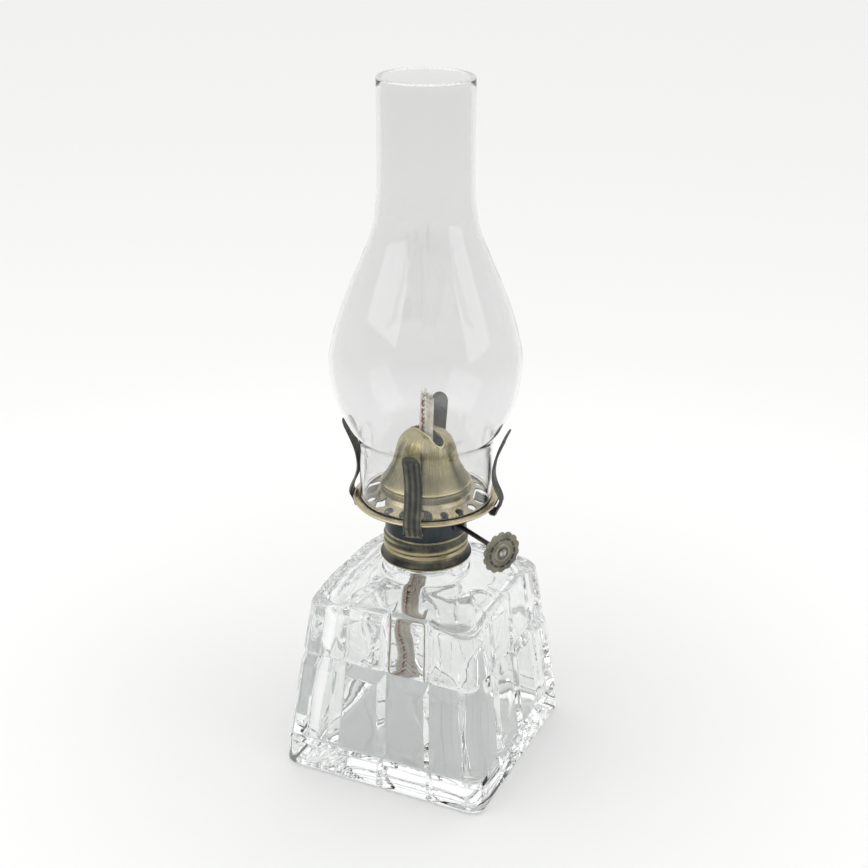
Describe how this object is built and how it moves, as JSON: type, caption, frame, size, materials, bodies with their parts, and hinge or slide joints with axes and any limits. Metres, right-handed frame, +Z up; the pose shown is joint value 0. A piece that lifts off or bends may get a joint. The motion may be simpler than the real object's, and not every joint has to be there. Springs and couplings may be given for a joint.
{
  "type": "oil lamp",
  "caption": "Flat-wick oil lamp with a tapering square pressed-glass font, screw-on brass burner with winding wheel and sprung prongs, and a bulged clear glass chimney.",
  "frame": {"origin": "centre of the font's foot, on the surface it stands on", "axes": "+Z up along the lamp's axis; the font's faces look along X and Y, and -Y is the front; the winding shaft leaves the burner 30.2 degrees clockwise of +X, seen from above"},
  "size_m": [0.1139, 0.1126, 0.3544],
  "materials": {
    "clear_pressed_glass": "clear pressed glass, thick, fire-polished",
    "clear_lamp_glass": "clear thin blown glass",
    "antique_brass": "satin, antiqued with darkened recesses",
    "dark_brass": "darkened, low sheen",
    "prong_bronze": "dark antique, worn bright on the edges",
    "rivet_steel": "peened, slightly bright",
    "cotton_braid": "braided cotton with a dark red tracer",
    "gasket_fibre": "pressed fibre"
  },
  "bodies": {
    "reservoir": {"font": "clear_pressed_glass"},
    "sealing_ring": {"neck_gasket": "gasket_fibre"},
    "burner": {"screw_cap": "antique_brass", "burner_drum": "dark_brass", "tube_plate": "antique_brass", "wick_tube": "antique_brass", "vent_tube": "antique_brass", "shaft_bracket": "antique_brass", "shaft_bush": "dark_brass", "gallery": "antique_brass", "dome": "antique_brass"},
    "winder": {"wick_shaft": "dark_brass", "toothed_wheel_inner": "antique_brass", "toothed_wheel_outer": "antique_brass", "thumbwheel": "antique_brass", "wheel_rivet": "rivet_steel"},
    "wick_strip": {"wick": "cotton_braid"},
    "lamp_glass": {"chimney": "clear_lamp_glass"},
    "spring_front": {"prong_front": "prong_bronze"},
    "spring_right": {"prong_right": "prong_bronze"},
    "spring_back": {"prong_back": "prong_bronze"},
    "spring_left": {"prong_left": "prong_bronze"}
  },
  "joints": [
    {"name": "burner_rise", "type": "slide", "parent": "reservoir", "child": "sealing_ring", "axis": [0, 0, 1], "range_m": [0, 0.00556]},
    {"name": "burner_unscrew", "type": "hinge", "parent": "sealing_ring", "child": "burner", "pos_m": [0, 0, 0.122], "axis": [0, 0, 1], "range_deg": [0, 540]},
    {"name": "wick_turn", "type": "hinge", "parent": "burner", "child": "winder", "pos_m": [0.00262, 0.00449, 0.134], "axis": [-0.8643, 0.503, 0], "range_deg": [-180, 150]},
    {"name": "wick_travel", "type": "slide", "parent": "burner", "child": "wick_strip", "axis": [0, 0, 1], "range_m": [-0.0123, 0.0103]},
    {"name": "chimney_lift", "type": "slide", "parent": "burner", "child": "lamp_glass", "axis": [0, 0, 1], "range_m": [0, 0.06]},
    {"name": "prong_front_flex", "type": "hinge", "parent": "burner", "child": "spring_front", "pos_m": [0.00741, -0.02804, 0.1435], "axis": [0.9668, 0.2554, 0], "range_deg": [0, 6], "stiffness_Nm_per_rad": 0.05},
    {"name": "prong_right_flex", "type": "hinge", "parent": "burner", "child": "spring_right", "pos_m": [0.02804, 0.00741, 0.1435], "axis": [-0.2554, 0.9668, 0], "range_deg": [0, 6], "stiffness_Nm_per_rad": 0.05},
    {"name": "prong_back_flex", "type": "hinge", "parent": "burner", "child": "spring_back", "pos_m": [-0.00741, 0.02804, 0.1435], "axis": [-0.9668, -0.2554, 0], "range_deg": [0, 6], "stiffness_Nm_per_rad": 0.05},
    {"name": "prong_left_flex", "type": "hinge", "parent": "burner", "child": "spring_left", "pos_m": [-0.02804, -0.00741, 0.1435], "axis": [0.2554, -0.9668, 0], "range_deg": [0, 6], "stiffness_Nm_per_rad": 0.05}
  ],
  "couplings": [
    {"joint": "burner_rise", "follows": "burner_unscrew", "m_per_rad": 0.00058887},
    {"joint": "wick_travel", "follows": "wick_turn", "m_per_rad": 0.0039}
  ]
}
